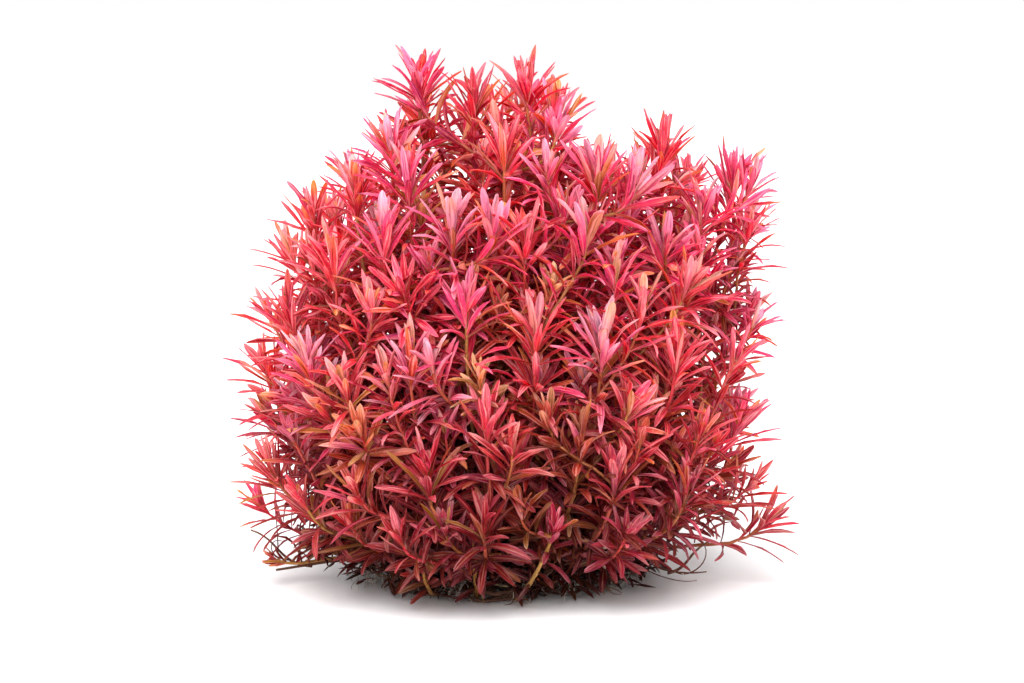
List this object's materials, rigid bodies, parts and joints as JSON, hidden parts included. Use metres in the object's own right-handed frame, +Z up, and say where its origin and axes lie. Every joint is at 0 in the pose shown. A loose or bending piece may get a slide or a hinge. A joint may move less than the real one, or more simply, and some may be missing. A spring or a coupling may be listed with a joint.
{
  "type": "dwarf rotala",
  "caption": "Bushy red aquarium stem plant: leafy shoots with crowns of slender leaves rise and arch outwards from a low mat of roots, which rests flat on a surface",
  "frame": {"origin": "the middle of the flat underside of the root mat, on the surface that the bush stands on", "axes": "+Z up, +X along the bush's widest extent, to the right as the picture sees it, -Y towards the viewer"},
  "size_m": [0.1796, 0.16, 0.1649],
  "materials": {
    "leafy_shoot": "satin",
    "roots": "matte"
  },
  "bodies": {
    "root": {"root_mat": "roots", "shoot_front_01": "leafy_shoot", "shoot_front_02": "leafy_shoot", "shoot_front_03": "leafy_shoot", "shoot_front_04": "leafy_shoot", "shoot_front_05": "leafy_shoot", "shoot_front_06": "leafy_shoot", "shoot_front_07": "leafy_shoot", "shoot_front_08": "leafy_shoot", "shoot_front_09": "leafy_shoot", "shoot_front_10": "leafy_shoot", "shoot_front_11": "leafy_shoot", "shoot_front_12": "leafy_shoot", "shoot_front_13": "leafy_shoot", "shoot_front_14": "leafy_shoot", "shoot_front_15": "leafy_shoot", "shoot_front_16": "leafy_shoot", "shoot_front_17": "leafy_shoot", "shoot_front_18": "leafy_shoot", "shoot_front_19": "leafy_shoot", "shoot_front_20": "leafy_shoot", "shoot_front_21": "leafy_shoot", "shoot_front_22": "leafy_shoot", "shoot_front_23": "leafy_shoot", "shoot_front_24": "leafy_shoot", "shoot_front_25": "leafy_shoot", "shoot_front_26": "leafy_shoot", "shoot_front_27": "leafy_shoot", "shoot_front_28": "leafy_shoot", "shoot_front_29": "leafy_shoot", "shoot_front_30": "leafy_shoot", "shoot_front_31": "leafy_shoot", "shoot_front_32": "leafy_shoot", "shoot_front_33": "leafy_shoot", "shoot_front_34": "leafy_shoot", "shoot_front_35": "leafy_shoot", "shoot_front_36": "leafy_shoot", "shoot_front_37": "leafy_shoot", "shoot_front_38": "leafy_shoot", "shoot_back_01": "leafy_shoot", "shoot_back_02": "leafy_shoot", "shoot_back_03": "leafy_shoot", "shoot_back_04": "leafy_shoot", "shoot_back_05": "leafy_shoot", "shoot_back_06": "leafy_shoot", "shoot_back_07": "leafy_shoot", "shoot_back_08": "leafy_shoot", "shoot_back_09": "leafy_shoot", "shoot_back_10": "leafy_shoot", "shoot_back_11": "leafy_shoot", "shoot_back_12": "leafy_shoot", "shoot_back_13": "leafy_shoot", "shoot_back_14": "leafy_shoot", "shoot_back_15": "leafy_shoot", "shoot_back_16": "leafy_shoot", "shoot_back_17": "leafy_shoot", "shoot_back_18": "leafy_shoot", "shoot_back_19": "leafy_shoot", "shoot_back_20": "leafy_shoot", "shoot_back_21": "leafy_shoot"}
  },
  "joints": []
}
